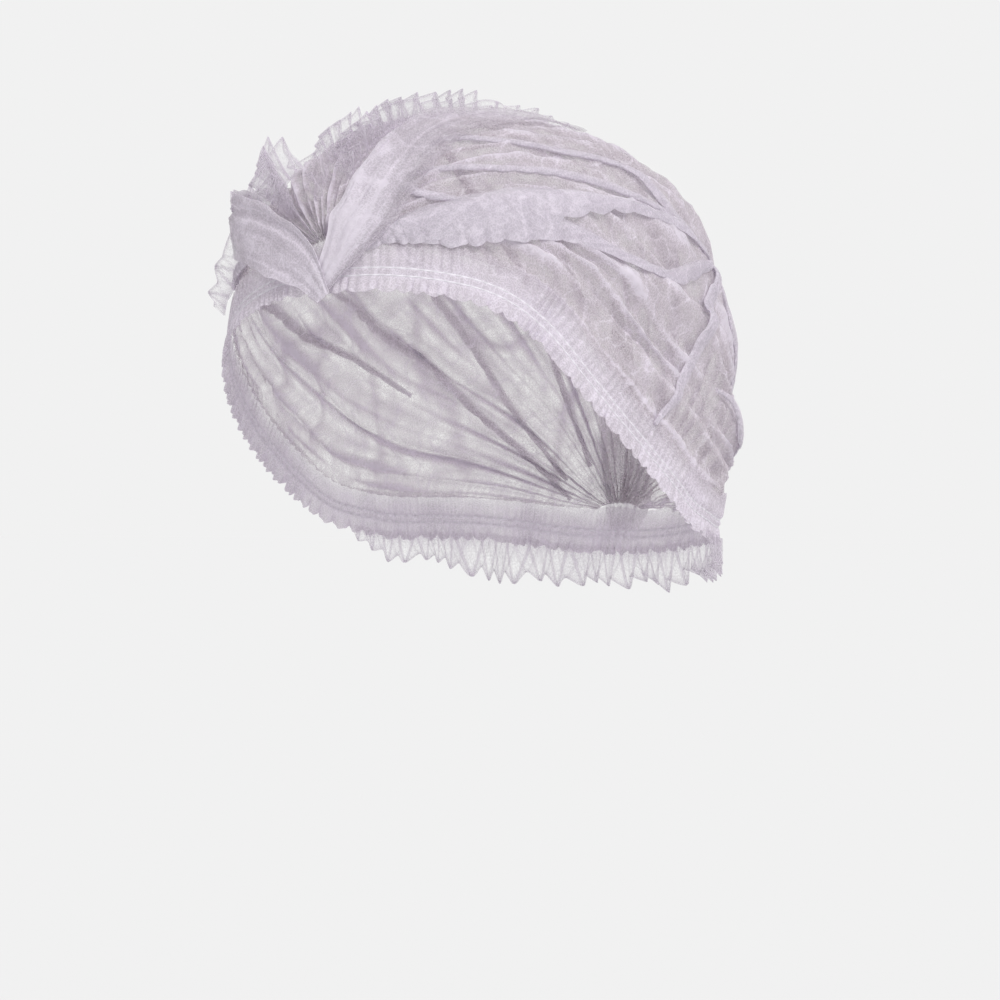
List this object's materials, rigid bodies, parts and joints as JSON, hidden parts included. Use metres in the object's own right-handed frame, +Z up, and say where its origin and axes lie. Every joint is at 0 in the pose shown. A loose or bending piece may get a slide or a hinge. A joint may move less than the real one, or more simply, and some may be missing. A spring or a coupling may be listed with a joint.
{
  "type": "disposable cap",
  "caption": "Pleated nonwoven head cap, gathered at forehead and nape, with an elastic hem, standing pleats and frills at the front and a ruffle at the nape.",
  "frame": {"origin": "the inner top of the crown, where the cap bears on a head", "axes": "+Z up, -Y the front gather on the forehead, +X the wearer's left"},
  "size_m": [0.1615, 0.2009, 0.1763],
  "materials": {
    "sheet": "matt sheer spunbonded nonwoven, single layer",
    "hem": "matt nonwoven shirred over elastic",
    "pleats": "matt nonwoven, many layers folded together",
    "frill": "matt sheer nonwoven, one or two layers"
  },
  "bodies": {
    "root": {"crown": "sheet", "elastic_hem": "hem", "front_pleats_left": "pleats", "front_pleats_right": "pleats", "nape_pleats": "pleats", "front_frill_left": "frill", "front_frill_right": "frill", "front_ruffle": "frill", "nape_ruffle": "frill"}
  },
  "joints": []
}
